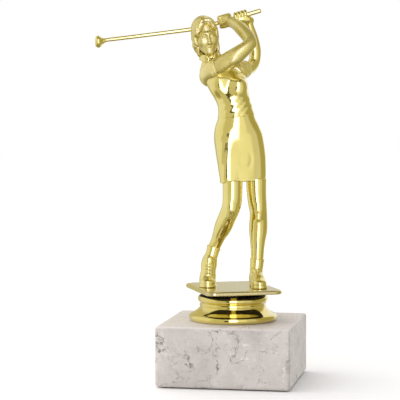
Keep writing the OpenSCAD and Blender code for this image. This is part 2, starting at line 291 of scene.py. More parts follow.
def ell(g, at, r, turn=(0, 0, 0)):
    x, y, z = turned(g, at, turn)
    k0 = np.sqrt((x / r[0]) ** 2 + (y / r[1]) ** 2 + (z / r[2]) ** 2)
    k1 = np.sqrt((x / r[0] ** 2) ** 2 + (y / r[1] ** 2) ** 2 + (z / r[2] ** 2) ** 2)
    return k0 * (k0 - 1) / np.maximum(k1, 1e-5)


def slab(g, at, r, turn=(0, 0, 0), corner=0.3):
    x, y, z = turned(g, at, turn)
    q = [np.abs(v) - (h - corner) for v, h in zip((x, y, z), r)]
    out = np.sqrt(sum(np.maximum(v, 0) ** 2 for v in q))
    return out + np.minimum(np.maximum(np.maximum(q[0], q[1]), q[2]), 0) - corner


def plane(g, at, normal):
    """Negative on the side away from the normal."""
    n = Vector(normal).normalized()
    return (g.x - at[0]) * n.x + (g.y - at[1]) * n.y + (g.z - at[2]) * n.z


def cone(g, a, b, ra, rb):
    d = [q - p for p, q in zip(a, b)]
    x, y, z = g.x - a[0], g.y - a[1], g.z - a[2]
    t = np.clip((x * d[0] + y * d[1] + z * d[2]) / sum(v * v for v in d), 0, 1)
    return np.sqrt((x - t * d[0]) ** 2 + (y - t * d[1]) ** 2 + (z - t * d[2]) ** 2) - (ra + (rb - ra) * t)


def spline(stations, steps):
    s = np.array(stations, dtype=float)
    p = np.vstack([s[0], s, s[-1]])
    out = []
    for i in range(len(s) - 1):
        a, b, c, d = p[i:i + 4]
        for t in np.arange(steps) / steps:
            out.append(0.5 * (2 * b + (c - a) * t + (2 * a - 5 * b + 4 * c - d) * t ** 2
                              + (3 * b - a - 3 * c + d) * t ** 3))
    return out + [s[-1]]


def limb(g, stations, steps=3):
    """A round, smoothly swelling limb through stations of x, y, z and radius."""
    pts = spline(stations, steps)
    d = None
    for a, b in zip(pts, pts[1:]):
        c = cone(g, a[:3], b[:3], a[3], b[3])
        d = c if d is None else np.minimum(d, c)
    return d


def levels(g, table):
    """A body given by level sections: z, middle x, middle y, half width, half depth."""
    s = np.array(sorted(table), dtype=float)
    z = g.z.ravel()
    slopes = np.gradient(s, s[:, 0], axis=0)
    i = np.clip(np.searchsorted(s[:, 0], z) - 1, 0, len(s) - 2)
    w = s[i + 1, 0] - s[i, 0]
    t = np.clip((z - s[i, 0]) / w, 0, 1)
    v = []
    for c in range(1, 5):
        h = ((2 * t ** 3 - 3 * t ** 2 + 1) * s[i, c] + (t ** 3 - 2 * t ** 2 + t) * w * slopes[i, c]
             + (3 * t ** 2 - 2 * t ** 3) * s[i + 1, c] + (t ** 3 - t ** 2) * w * slopes[i + 1, c])
        v.append(h.astype(np.float32)[None, None, :])
    x, y = (g.x - v[0]) / v[2], (g.y - v[1]) / v[3]
    k = np.sqrt(x * x + y * y)
    k1 = np.sqrt((x / v[2]) ** 2 + (y / v[3]) ** 2)
    return k * (k - 1) / np.maximum(k1, 1e-5)


def join(a, b, k):
    h = np.clip(0.5 + 0.5 * (b - a) / k, 0, 1)
    return b + (a - b) * h - k * h * (1 - h)


def cut(a, b, k):
    """What both hold, with a rounded edge. cut(a, -b, k) takes b away."""
    return -join(-a, -b, k)


def soften(d, times=1):
    for _ in range(times):
        for axis in range(3):
            s = np.swapaxes(d, 0, axis)
            m = s.copy()
            m[1:-1] = 0.25 * s[:-2] + 0.5 * s[1:-1] + 0.25 * s[2:]
            d = np.swapaxes(m, 0, axis)
    return d


def blob(g, at, r):
    """A soft weight from 1 at a point to 0 outside its radii."""
    q = ((g.x - at[0]) / r[0]) ** 2 + ((g.y - at[1]) / r[1]) ** 2 + ((g.z - at[2]) / r[2]) ** 2
    return np.exp(-q)


def bell(v, at, width):
    """A soft ridge, 1 where v is at and falling off over width."""
    return np.exp(-((v - at) / width) ** 2)


def carve(name, g, d, place=None, shade=None, material=None):
    """The zero surface of d as a piece of the object. shade is the uncut distance, for the normals."""
    d = np.array(np.broadcast_to(d, (g.x.size, g.y.size, g.z.size)), dtype=np.float32, order="C")
    grid = openvdb.FloatGrid(10.0)
    grid.copyFromArray(d)
    pts, tris, quads = grid.convertToPolygons(isovalue=0.0, adaptivity=0.0)
    s = d if shade is None else shade
    i = np.clip(np.floor(pts).astype(int), 1, np.array(d.shape) - 3)
    f = (pts - i).astype(np.float32)
    normal = np.zeros_like(pts)
    for dx in (0, 1):
        for dy in (0, 1):
            for dz in (0, 1):
                w = (np.abs(1 - dx - f[:, 0]) * np.abs(1 - dy - f[:, 1]) * np.abs(1 - dz - f[:, 2]))[:, None]
                a, b, c = i[:, 0] + dx, i[:, 1] + dy, i[:, 2] + dz
                normal += w * np.stack([s[a + 1, b, c] - s[a - 1, b, c], s[a, b + 1, c] - s[a, b - 1, c],
                                        s[a, b, c + 1] - s[a, b, c - 1]], 1)
    pts = pts * g.step + np.array(g.lo)
    m = FIGURE @ (place or Matrix())
    r = np.array(m.to_3x3())
    pts = pts @ r.T + np.array(m.translation)
    normal = normal @ r.T
    normal /= np.maximum(np.linalg.norm(normal, axis=1), 1e-9)[:, None]
    faces = [tuple(int(v) for v in q) for q in quads] + [tuple(int(v) for v in q) for q in tris]
    me = bpy.data.meshes.new(name)
    me.from_pydata(pts.tolist(), [], faces)
    me.update()
    outward = np.cross(pts[quads[:, 1]] - pts[quads[:, 0]], pts[quads[:, 2]] - pts[quads[:, 0]])
    if np.sum(outward * normal[quads[:, 0]]) < 0:
        me.flip_normals()
    me.polygons.foreach_set("use_smooth", [True] * len(me.polygons))
    if shade is not None:
        me.normals_split_custom_set_from_vertices(normal.tolist())
    piece(name, me, name, material=material)


def bridge(bm, rings):
    """Faces between each ring of vertices and the next."""
    for a, b in zip(rings, rings[1:]):
        n = len(a)
        for k in range(n):
            bm.faces.new((a[k], a[(k + 1) % n], b[(k + 1) % n], b[k]))


def write(bm, me):
    bmesh.ops.recalc_face_normals(bm, faces=bm.faces)
    bm.to_mesh(me)
    bm.free()


def circle(r, z, sides):
    return [(r * math.cos(a), r * math.sin(a), z) for a in np.arange(sides) * 2 * math.pi / sides]


def ring_mesh(name, rings, closed=False):
    """A mesh through rings of points, its two ends capped, or joined to each other when closed."""
    me, bm = bpy.data.meshes.new(name), bmesh.new()
    loops = [[bm.verts.new(p) for p in ring] for ring in rings]
    bridge(bm, loops + loops[:1] if closed else loops)
    if not closed:
        bm.faces.new(loops[0][::-1])
        bm.faces.new(loops[-1])
    write(bm, me)
    return me


def piece(name, me, replaced, material=None):
    o = bpy.data.objects.new(name + "_form", me)
    bpy.context.collection.objects.link(o)
    me.materials.append(material or GOLD)
    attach(o, "root")
    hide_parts(*([replaced] if isinstance(replaced, str) else replaced))
    return o


# ---------------------------------------------------------------- legs and feet
HEM = (5.4, -1.0, 55.6)
HEM_NORMAL = (-0.06, 0, 1)


def left_leg():
    g = clay((6, -8, 11), (20, 9, 60), 0.3)
    d = limb(g, [
        (12.8, 1.4, 11, 3.3), (12.9, 1.5, 17, 3.45), (13.0, 1.8, 20.5, 3.7), (13.1, 2.0, 24, 4.1),
        (13.35, 1.8, 28, 4.55), (13.5, 1.4, 32, 4.75), (13.5, 0.8, 36, 4.7), (13.4, 0.2, 40, 4.65),
        (13.0, -0.2, 43, 4.9), (12.6, -0.5, 46.5, 5.05), (12.3, -0.6, 51, 5.25), (12.2, -0.7, 57, 5.4)])
    d = join(d, ell(g, (13.4, 3.0, 31.5), (4.2, 3.5, 8)), 2.0)
    d = join(d, ell(g, (13.2, -3.2, 41.6), (2.7, 2.3, 3.3)), 1.8)
    d = join(d, ell(g, (13.2, -3.4, 36.9), (1.5, 1.2, 1.8)), 1.5)
    d = cut(d, plane(g, (13, 0, 57.5), (0, 0, 1)), 0.2)
    carve("left_leg", g, soften(d, 2))


def right_leg():
    g = clay((-16, -15, 15), (7, 9, 59.5), 0.3)
    d = limb(g, [
        (-11.2, 3.7, 17, 3.1), (-10.0, 3.2, 20.5, 3.2), (-8.6, 2.2, 23.6, 3.3), (-7.3, 0.9, 26.9, 3.65),
        (-5.9, -1.0, 30.3, 4.25), (-4.5, -2.9, 33.4, 4.65), (-3.3, -4.8, 36.7, 4.75),
        (-1.9, -6.5, 40.2, 4.8), (-0.8, -7.2, 44.0, 5.0), (-0.45, -6.2, 49, 5.15), (-0.4, -4.6, 58, 5.3)])
    d = join(d, ell(g, (-4.9, -1.4, 32.6), (3.8, 3.8, 6.8), (24, 20, 0)), 2.0)
    d = join(d, ell(g, (-1.3, -10.2, 42.2), (2.7, 2.2, 3.3), (14, 0, 0)), 1.8)
    d = join(d, ell(g, (-2.2, -9.3, 38.0), (1.6, 1.3, 1.8), (20, 0, 0)), 1.5)
    d = cut(d, plane(g, (13, 0, 56.5), (0, 0, 1)), 0.2)
    carve("right_leg", g, soften(d, 2))


def sock(name, g, axis, r):
    """A short ribbed sock with a rolled band, round an ankle axis from a to b."""
    a, b = axis
    u = (Vector(b) - Vector(a)).normalized()
    x, y, z = g.x - a[0], g.y - a[1], g.z - a[2]
    along = x * u.x + y * u.y + z * u.z
    side = Vector((1, 0, 0)).cross(u).normalized()
    other = u.cross(side)
    angle = np.arctan2(x * side.x + y * side.y + z * side.z, x * other.x + y * other.y + z * other.z)
    d = cone(g, a, b, r, r + 0.15)
    length = (Vector(b) - Vector(a)).length
    d = d - 0.06 * np.cos(18 * angle) - 0.22 * bell(along - length, -0.5, 0.9)
    d = cut(d, along - length, 0.35)
    d = cut(d, -along, 0.3)
    carve(name, g, soften(d))


def left_sock():
    ankle = ((12.3, 1.5, 7.5), (12.9, 1.4, 14.6))
    sock("left_sock", clay((7, -5, 6.5), (18, 8, 16.5), 0.22), ankle, 3.45)


def right_sock():
    ankle = ((-12.2, 3.2, 13.4), (-10.0, 3.3, 20.9))
    sock("right_sock", clay((-17, -2, 12), (-4, 10, 23.5), 0.22), ankle, 3.35)


def seam(d, line, deep=0.35):
    """A fine groove where line is 0, no deeper than deep."""
    return cut(d, -np.maximum(np.abs(line) - 0.12, np.abs(d) - deep), 0.15)


def lace(g, d, left, top, right):
    for a, b in ((left, top), (top, right)):
        d = join(d, cone(g, a, b, 0.42, 0.42), 0.3)
    return d


def shoe(name, place):
    """A laced golf shoe in its own axes: toe towards -Y, sole on z = 0."""
    g = clay((-6.2, -13.5, -1.2), (6.2, 10.5, 14.5), 0.24)
    upper = ell(g, (0, -7.6, 2.5), (4.45, 5.2, 2.9))
    upper = join(upper, ell(g, (-0.2, -2.4, 3.6), (4.1, 6.2, 4.3), (-14, 0, 0)), 2.0)
    upper = join(upper, ell(g, (-0.4, 4.6, 3.9), (3.75, 4.3, 4.6)), 2.2)
    upper = join(upper, cone(g, (-0.4, 2.9, 4.0), (-0.2, 2.2, 10.2), 3.9, 3.65), 2.0)
    # the seams of the toe cap and the heel counter
    upper = seam(upper, g.y + 6.0 + 0.10 * g.x ** 2)
    upper = seam(upper, g.y - 3.4 + 0.10 * (g.z - 4) ** 2, 0.3)
    # the laced throat: a tongue between two stays, with four laces across
    for i in range(4):
        y = -4.6 + 1.45 * i
        z = 5.7 + 1.15 * i
        upper = lace(g, upper, (-2.0, y + 0.3, z - 0.75), (0, y - 0.35, z + 0.15), (2.0, y + 0.3, z - 0.75))
    upper = join(upper, ell(g, (0, -1.4, 9.2), (1.9, 0.9, 2.3), (-28, 0, 0)), 0.6)
    upper = cut(upper, -plane(g, (0, 0, 0.2), (0, 0, 1)), 0.3)
    upper = cut(upper, plane(g, (0, 2, 10.4), (0, -0.25, 1)), 0.5)
    # sole: the shoe's outline, a little proud, with a gap under the waist
    foot = join(ell(g, (0.2, -6.9, 0), (4.9, 5.9, 60)), ell(g, (-0.4, 4.6, 0), (3.95, 4.7, 60)), 3.5)
    foot = join(foot, ell(g, (-0.1, -1.0, 0), (3.7, 6.5, 60)), 2.0)
    sole = cut(foot, np.abs(g.z - 0.75) - 0.75, 0.25)
    sole = cut(sole, -ell(g, (0, 0.9, -0.2), (9, 1.7, 0.7)), 0.2)
    d = join(upper, sole, 0.12)
    carve(name, g, soften(d), place, material=CAST)


def left_shoe():
    turn = Matrix.Rotation(math.radians(5), 4, "Z")
    shoe("left_shoe", Matrix.Translation((12.9, -1.6, 0.0)) @ turn @ Matrix.Diagonal((0.9, 0.97, 1, 1)))


def right_shoe():
    """The trailing foot stands on its toe: toe box flat on the platform, the rest bent up behind it."""
    g = clay((-20, -11, -1), (-6, 14, 19.5), 0.24)
    box = ell(g, (-13.45, -3.6, 2.5), (4.3, 4.6, 2.75))
    ball = ell(g, (-13.4, -0.6, 4.6), (4.35, 3.9, 4.2), (-20, 0, 0))
    mid = ell(g, (-13.0, 1.4, 9.2), (3.95, 3.9, 5.6), (-26, 0, 0))
    heel = ell(g, (-12.5, 5.0, 12.4), (3.6, 4.2, 4.2), (-35, 0, 0))
    top = cone(g, (-12.5, 2.8, 11.5), (-11.7, 3.4, 16.0), 3.7, 3.5)
    upper = join(join(join(join(box, ball, 2.2), mid, 2.2), heel, 2.2), top, 2.0)
    upper = seam(upper, g.y + 3.4 + 0.09 * (g.x + 13.4) ** 2 + 0.35 * (g.z - 3))
    for z, y in ((6.7, -4.0), (8.4, -3.35), (10.1, -2.6), (11.8, -1.8)):
        upper = lace(g, upper, (-15.0, y + 1.0, z - 0.5), (-13.1, y, z + 0.3), (-11.2, y + 1.0, z - 0.5))
    upper = join(upper, ell(g, (-12.5, -0.9, 14.0), (1.9, 0.9, 2.2), (-16, 4, 0)), 0.6)
    upper = cut(upper, -plane(g, (0, 0, 0.2), (0, 0, 1)), 0.3)
    upper = cut(upper, plane(g, (-11.8, 3.4, 16.4), (0.15, 0.1, 1)), 0.5)
    toe_sole = cut(ell(g, (-13.45, -3.0, 0), (4.75, 5.4, 60)), np.abs(g.z - 0.75) - 0.75, 0.25)
    x, y, z = turned(g, (-13.1, 6.1, 7.2), (-41, 0, 0))
    back = np.sqrt((x / 3.9) ** 2 + (y / 8.2) ** 2) - 1
    shank = cut(back * 3.6, np.abs(z + 2.6) - 0.75, 0.25)
    d = join(upper, join(toe_sole, shank, 0.8), 0.15)
    d = cut(d, -plane(g, (0, 0, 0.0), (0, 0, 1)), 0.1)
    carve("right_shoe", g, soften(d), material=CAST)


# ---------------------------------------------------------------- clothes
WAIST = (1.6, -0.7, 89.3)
WAIST_NORMAL = (-0.10, 0, 1)


def skirt():
    g = clay((-13.5, -14, 52), (20, 12.5, 92.5), 0.3)
    d = levels(g, [
        (50, 5.6, -0.9, 11.2, 8.4), (55.9, 5.3, -1.0, 11.6, 8.8), (60, 4.8, -0.8, 12.0, 9.1),
        (65.2, 4.2, -0.6, 12.2, 9.4), (71.5, 3.4, -0.1, 12.5, 9.7), (77.8, 2.6, 0.2, 12.7, 9.6),
        (82, 2.3, -0.2, 12.2, 9.0), (85.2, 2.1, -0.6, 11.4, 8.2), (89.3, 1.8, -0.7, 9.7, 7.4),
        (93, 1.5, -0.8, 9.2, 7.2)])
    # the trailing thigh presses forward and the standing one stays back, with a flat between them
    trailing = [(-2.9, -2.2, 80, 5.6), (-2.4, -3.8, 72, 6.3), (-1.5, -4.6, 64, 6.2), (-0.7, -4.9, 54, 5.9)]
    standing = [(9.4, -1.4, 78, 5.6), (10.8, -1.9, 68, 5.9), (11.2, -2.1, 54, 5.4)]
    d = join(join(d, limb(g, trailing), 2.6), limb(g, standing), 3.0)
    d = join(d, ell(g, (-2.6, 4.4, 76), (6.3, 6.2, 7.5)), 2.5)
    d = join(d, ell(g, (8.2, 4.4, 76), (6.3, 6.2, 7.5)), 2.5)
    d = cut(d, plane(g, (6.3, -8.7, 64), (0.30, -0.95, -0.12)), 5.0)
    # drape: a hollow beside the forward thigh, a soft crescent on the hip and creases off the knee
    front = np.clip(-(g.y + 2) / 3, 0, 1)
    s = (g.x + 3.2) * 0.92 - (g.z - 68) * 0.16
    d = d + front * 0.30 * bell(s, -1.6, 0.9) * blob(g, (-4, -8, 66), (6, 9, 9))
    s = np.sqrt((g.x + 3.0) ** 2 + ((g.z - 75.5) * 0.75) ** 2) - 4.6
    d = d - front * 0.22 * bell(s, 0, 0.8) * blob(g, (-6.5, -6, 79), (4, 9, 5))
    s = np.sqrt(((g.x - 6.5) * 1.2) ** 2 + ((g.z - 67.5) * 0.7) ** 2) - 3.4
    d = d + front * 0.12 * bell(s, 0, 0.9) * blob(g, (6.5, -8, 66), (6, 9, 7))
    d = soften(d, 3)
    h = plane(g, HEM, HEM_NORMAL) + 0.12 * np.sin(g.x * 0.7)
    d = d - 0.28 * bell(h, 0.55, 0.5) + 0.12 * bell(h, 1.6, 0.35)
    top = plane(g, WAIST, WAIST_NORMAL)
    inside = cut(d + 1.1, h - 2.2, 0.4)
    d = cut(d, -h, 0.35)
    d = cut(d, top - 1.2, 0.3)
    d = cut(d, -inside, 0.3)
    carve("skirt", g, soften(d))


def torso(g):
    d = levels(g, [
        (84, 2.2, -0.6, 11.0, 7.9), (89.3, 1.8, -0.7, 9.75, 7.4), (92, 1.4, -0.8, 9.3, 7.25),
        (95.5, 0.8, -0.8, 9.05, 7.3), (99.0, -0.5, -0.8, 9.3, 7.7), (102.0, -1.7, -0.6, 9.9, 8.0),
        (105.0, -2.8, -0.4, 10.5, 8.1),
        (109.4, -4.1, 0.4, 11.2, 7.9), (112.5, -5.8, 1.0, 11.2, 7.0), (115.2, -8.2, 1.2, 9.0, 5.8),
        (117.4, -10.9, 1.2, 5.8, 4.8), (119.0, -12.1, 1.1, 4.3, 4.2),
        (121.0, -12.3, 1.1, 4.0, 4.0)])
    d = join(d, ell(g, (-7.4, -4.4, 106.4), (4.0, 4.0, 4.6), (0, 0, 12)), 3.6)
    d = join(d, ell(g, (2.6, -5.6, 105.2), (4.6, 4.6, 5.2), (0, 0, -14)), 3.0)
    d = join(d, ell(g, (-7.0, 5.0, 108), (5.6, 4.4, 6.5)), 3.0)
    d = join(d, ell(g, (0.4, 5.2, 108), (5.4, 4.6, 6.5)), 3.0)
    return d


def shirt():
    g = clay((-18.5, -13, 86.5), (14, 12, 120.5), 0.28)
    d = torso(g)
    # pulled folds at the waist, rising to the viewer's right, and a few more behind
    front = np.clip(-(g.y - 1.0) / 3, 0, 1)
    across = (g.z - 91) * 0.72 - (g.x - 6) * 0.70
    wave = np.sin(across * 2 * math.pi / 2.9 + 0.5 * np.sin(g.x * 0.6))
    d = d - 0.21 * wave * front * blob(g, (8.6, -5, 95.5), (4.6, 9, 5.6))
    across = (g.z - 92) * 0.80 - (g.x + 2) * 0.60
    d = d - 0.09 * np.sin(across * 2 * math.pi / 3.1) * front * blob(g, (-2.2, -7, 93.5), (5.0, 9, 4.4))
    rear = np.clip((g.y - 1.5) / 3, 0, 1)
    across = (g.z - 95) * 0.9 + np.abs(g.x - 1) * 0.35
    d = d - 0.28 * np.sin(across * 2 * math.pi / 3.6) * rear * blob(g, (1, 6, 94.5), (8, 9, 5.0))
    # button placket down from the collar
    s = (g.x + 8.6) + (g.z - 112) * 0.30
    placket = np.clip((g.z - 107.5) / 1.0, 0, 1) * np.clip(-(g.y + 1) / 2, 0, 1)
    d = d - placket * 0.14 * np.clip(1.5 - np.abs(s) / 0.8, 0, 1)
    # bloused over the waistband, which draws it in
    h = plane(g, WAIST, WAIST_NORMAL)
    d = d - 0.30 * bell(h, 1.0, 0.9) * (0.8 + 0.3 * np.sin(g.x * 1.3))
    d = d + 0.15 * bell(h, -0.1, 0.5)
    d = cut(d, -(h + 0.1), 0.45)
    d = cut(d, plane(g, (-12.3, 1.2, 119.3), (-0.15, 0, 1)), 0.4)
    carve("shirt", g, soften(d, 2))


RIGHT_CUFF = ((-7.9, -3.8, 115.3), (0.9, -0.35, 0.25))
LEFT_CUFF = ((6.4, 8.2, 114.8), (0.55, 0.8, 0.1))


def sleeve(name, g, stations, cuff):
    d = limb(g, stations)
    at, normal = cuff
    h = plane(g, at, normal)
    wave = np.sin((g.z * 0.8 + g.x * 0.9 + g.y * 0.3) * 1.5)
    d = d - 0.16 * wave * np.clip(-h / 3, 0, 1)
    d = d - 0.22 * bell(h, -0.55, 0.45) + 0.14 * bell(h, -1.45, 0.25)
    d = cut(d, h, 0.25)
    inside = cut(d + 0.55, -(h + 1.2), 0.2)
    d = cut(d, -inside, 0.15)
    carve(name, g, soften(d), material=SLEEVE_PAINTED_LIGHT)


def right_sleeve():
    g = clay((-21, -11, 105.5), (-4.5, 8, 123), 0.27)
    sleeve("right_sleeve", g, [(-12.6, 1.4, 110.6, 5.0), (-12.2, 0.0, 112.6, 5.6), (-10.4, -2.2, 113.9, 5.75),
                               (-7.0, -4.4, 115.6, 5.65), (-4.5, -5.5, 117.2, 5.6)], RIGHT_CUFF)


def left_sleeve():
    g = clay((-4, -1, 106.5), (12.5, 14.5, 121.5), 0.27)
    sleeve("left_sleeve", g, [(-0.6, 1.6, 112.0, 4.8), (2.0, 3.8, 113.3, 4.9), (5.0, 6.8, 114.5, 4.6),
                              (8.0, 10.2, 115.2, 4.5)], LEFT_CUFF)


def collar():
    """A soft polo collar: a stand round the neck and a fall turned down over it, open at the throat."""
    turn = Euler((math.radians(10), math.radians(-12), math.radians(8))).to_matrix().to_4x4()
    place = Matrix.Translation((-12.4, 1.0, 120.5)) @ turn
    g = clay((-8.5, -9.5, -4), (8.5, 8, 5.5), 0.2)
    r = np.sqrt(g.x ** 2 + (g.y * 0.96) ** 2)
    angle = np.arctan2(g.x, -g.y)
    opening = bell(angle, 0, 0.3)
    flare = 0.08 * bell(np.abs(angle), 0.6, 0.35)
    fall = np.abs(r - (4.65 - 0.24 * (g.z - 2.2) + flare)) - 0.42
    point = 0.8 * bell(np.abs(angle), 0.5, 0.4)
    low = -0.1 - point
    d = cut(fall * 0.92, -(g.z - low), 0.35)
    d = cut(d, g.z - (2.9 - 2.6 * opening), 0.45)
    d = cut(d, -(np.abs(angle) - 0.07 - 0.05 * (2.6 - g.z)) * r, 0.25)
    stand = cut(np.abs(r - 4.15) - 0.34, np.abs(g.z - 1.1) - (1.9 - 1.2 * opening), 0.3)
    d = join(d, stand, 0.5)
    carve("collar", g, soften(d), place)


# ---------------------------------------------------------------- head and hair, in the head's own axes
HEAD_PLACE = (Matrix.Translation((-14.3, 0.2, 131.8))
              @ Euler((math.radians(4), math.radians(-8), math.radians(10))).to_matrix().to_4x4())


def skull(g):
    return join(ell(g, (0, 1.7, 2.5), (5.9, 7.4, 6.9)), ell(g, (0, -1.9, -3.1), (4.9, 5.1, 6.3)), 2.6)


def head():
    g = clay((-7.5, -10.5, -16.5), (7.5, 10, 10.5), 0.2)
    d = skull(g)
    for s in (-1, 1):
        d = join(d, ell(g, (3.1 * s, -4.1, -2.1), (2.2, 2.1, 2.4)), 2.0)
        d = join(d, cone(g, (1.0 * s, -6.1, 1.75), (3.6 * s, -4.9, 1.9), 0.62, 0.5), 1.6)
        d = cut(d, -ell(g, (2.36 * s, -7.2, 0.25), (1.6, 1.2, 0.9)), 1.0)
        d = join(d, ell(g, (2.36 * s, -5.3, 0.0), (1.25, 1.15, 0.95)), 0.25)
        # calm, half-lowered lids with a crease over them
        d = join(d, cone(g, (1.25 * s, -6.15, 0.25), (2.36 * s, -6.45, 0.62), 0.24, 0.27), 0.2)
        d = join(d, cone(g, (2.36 * s, -6.45, 0.62), (3.5 * s, -5.65, 0.15), 0.27, 0.22), 0.2)
        d = join(d, cone(g, (1.35 * s, -6.1, -0.45), (3.25 * s, -5.7, -0.5), 0.2, 0.18), 0.25)
        d = join(d, ell(g, (0.66 * s, -7.35, -3.35), (0.54, 0.8, 0.52)), 0.4)
    d = join(d, cone(g, (0, -6.35, 1.3), (0, -8.05, -2.9), 0.55, 0.78), 0.8)
    d = join(d, ell(g, (0, -8.0, -3.05), (0.8, 0.85, 0.7)), 0.5)
    d = join(d, ell(g, (0, -5.8, -5.7), (2.5, 1.45, 2.3)), 1.8)
    d = join(d, cone(g, (-1.75, -6.65, -5.75), (0, -7.5, -5.3), 0.28, 0.42), 0.3)
    d = join(d, cone(g, (0, -7.5, -5.3), (1.75, -6.65, -5.75), 0.42, 0.28), 0.3)
    d = join(d, cone(g, (-1.2, -6.8, -6.35), (1.2, -6.8, -6.35), 0.44, 0.44), 0.35)
    d = join(d, ell(g, (0, -7.0, -6.4), (1.2, 0.62, 0.5)), 0.3)
    front = np.minimum(g.y + 7.15 - 0.28 * g.x ** 2, 0)
    line = np.sqrt((g.z + 5.88 + 0.05 * g.x ** 2) ** 2 + front ** 2) - 0.13
    d = cut(d, -np.maximum(line, np.maximum(np.abs(g.x) - 1.7, np.maximum(g.y + 6.4, -d - 0.5))), 0.2)
    d = join(d, ell(g, (0, -5.7, -8.3), (1.8, 1.45, 1.3)), 1.8)
    for s in (-1, 1):
        d = join(d, cone(g, (0.9 * s, -5.1, -7.8), (3.6 * s, -1.5, -4.6), 1.15, 1.4), 2.2)
    neck = limb(g, [
        (-0.1, 1.6, -6, 3.6), (0.0, 1.1, -9.5, 3.6), (0.2, 0.5, -12.5, 3.8), (0.6, 0.5, -16, 3.3)])
    d = join(d, neck, 1.6)
    for s in (-1, 1):
        d = join(d, cone(g, (2.6 * s, 0.6, -7), (0.6 * s - 1.1, -2.1, -14.5), 0.7, 0.6), 1.0)
    d = cut(d, -(g.z + 15.6), 0.3)
    carve("head", g, soften(d), HEAD_PLACE, material=SKIN)


def hair():
    """A wavy bob to the collar, swept both ways from a parting, its strands grooved along the flow."""
    g = clay((-9.4, -8.6, -14), (9.4, 11.2, 11.4), 0.2)
    d = ell(g, (-0.6, 2.2, 2.8), (6.6, 8.2, 8.1))
    d = join(d, ell(g, (-0.6, 4.2, -3.4), (6.2, 5.0, 7.6)), 2.5)
    left = limb(g, [
        (-3.2, -4.4, 6.6, 1.5), (-5.1, -3.7, 4.0, 1.9), (-5.9, -2.4, 0.6, 2.0), (-5.9, -1.4, -3.2, 2.0),
        (-5.1, -1.0, -6.8, 1.7), (-4.3, -0.6, -9.6, 1.0)])
    right = limb(g, [
        (2.4, -4.6, 6.8, 1.2), (4.3, -3.8, 4.4, 1.4), (4.8, -2.6, 0.8, 1.5), (4.6, -1.6, -3.4, 1.6),
        (4.6, -1.2, -7.2, 1.4), (5.6, -1.3, -10.2, 0.9), (6.8, -1.5, -12.2, 0.5)])
    d = join(join(d, left, 1.4), right, 1.4)
    # the opening for the face, arched at the hairline
    arch = (np.sqrt((g.x / 4.3) ** 2 + ((g.z + 0.4) / 6.7) ** 2) - 1) * 4.3
    sides = np.maximum(np.abs(g.x) - 4.3, g.z + 0.4)
    d = cut(d, -np.maximum(join(arch, sides, 0.8), g.y + 0.6), 0.9)
    # the fringe: locks swept off the parting round the hairline
    for s, spread in ((-1, 1.0), (1, 0.92)):
        for y, z, r in ((-5.2, 7.1, 0.95), (-4.2, 8.4, 1.0), (-2.4, 9.6, 1.05)):
            w = s * spread
            lock = [(-0.6, y + 0.3, z + 0.5, r * 0.8), (2.0 * w - 0.2, y - 0.25, z - 0.1, r),
                    (3.9 * w, y + 0.5, z - 1.9, r), (5.3 * w, y + 1.9, z - 4.3, r * 0.7)]
            d = join(d, limb(g, lock), 0.55)
    angle = np.arctan2(g.x, -(g.y - 1.6))
    low = np.clip((6.5 - g.z) / 4, 0, 1)
    sway = 0.22 * np.sin(0.55 * g.z + 0.8) + 0.06 * np.sin(1.3 * g.z + 2 * angle)
    down = sum(w * np.cos(k * (angle + sway)) for k, w in ((13, 1), (29, 0.6), (47, 0.35)))
    over = np.cos(1.9 * (g.y + 0.35 * np.abs(g.x)) + 0.5) + 0.6 * np.cos(4.2 * (g.y + 0.35 * np.abs(g.x)))
    d = d - 0.16 * (low * down + (1 - low) * over)
    parting = np.clip((g.z - 6) / 2, 0, 1) * np.clip((3 - g.y) / 3, 0, 1)
    d = d + 0.22 * bell(g.x, -0.6, 0.35) * parting
    d = d - 0.16 * np.sin(0.95 * g.z + 1.5 * np.sin(2 * angle)) * np.clip((4 - g.z) / 5, 0, 1)
    d = cut(d, -ell(g, (-0.6, -3.2, -14.2), (4.6, 6.2, 5.2)), 1.0)
    tips = -9.8 + 0.8 * np.cos(8 * angle) + 0.8 * np.clip((g.y - 2) / 6, 0, 1)
    tips = tips - 3.0 * np.clip((g.x - 4.6) / 1.2, 0, 1) * np.clip((2 - g.y) / 2, 0, 1)
    d = cut(d, -(g.z - tips), 1.2)
    carve("hair", g, soften(d), HEAD_PLACE, material=HAIR)


# ---------------------------------------------------------------- arms and hands
GRIP_TURN = (0, -15.6, 0)
RIGHT_GRIP = (-4.1, 12.0, 140.6)
LEFT_GRIP = (4.5, 12.0, 142.9)
RIGHT_WRIST = ((-0.3, 8.7, 139.6), (-0.62, 0.72, 0.3))
LEFT_WRIST = ((7.9, 12.8, 140.4), (-0.3, -0.1, 0.95))


def along_grip(g, at):
    """The grid seen from a hand: x along the grip, y away from the viewer."""
    x, y, z = turned(g, at, GRIP_TURN)
    return SimpleNamespace(x=x, y=y, z=z)


def finger(g, x, lean, start, end, r, hold):
    """One finger wound round the grip, from one bearing to the other."""
    pts = []
    for i in range(6):
        a = math.radians(start + (end - start) * i / 5)
        pts.append((x + lean * i / 5, -math.cos(a) * hold, math.sin(a) * hold, r * (1.0 if i < 4 else 0.92)))
    return limb(g, pts, 2)


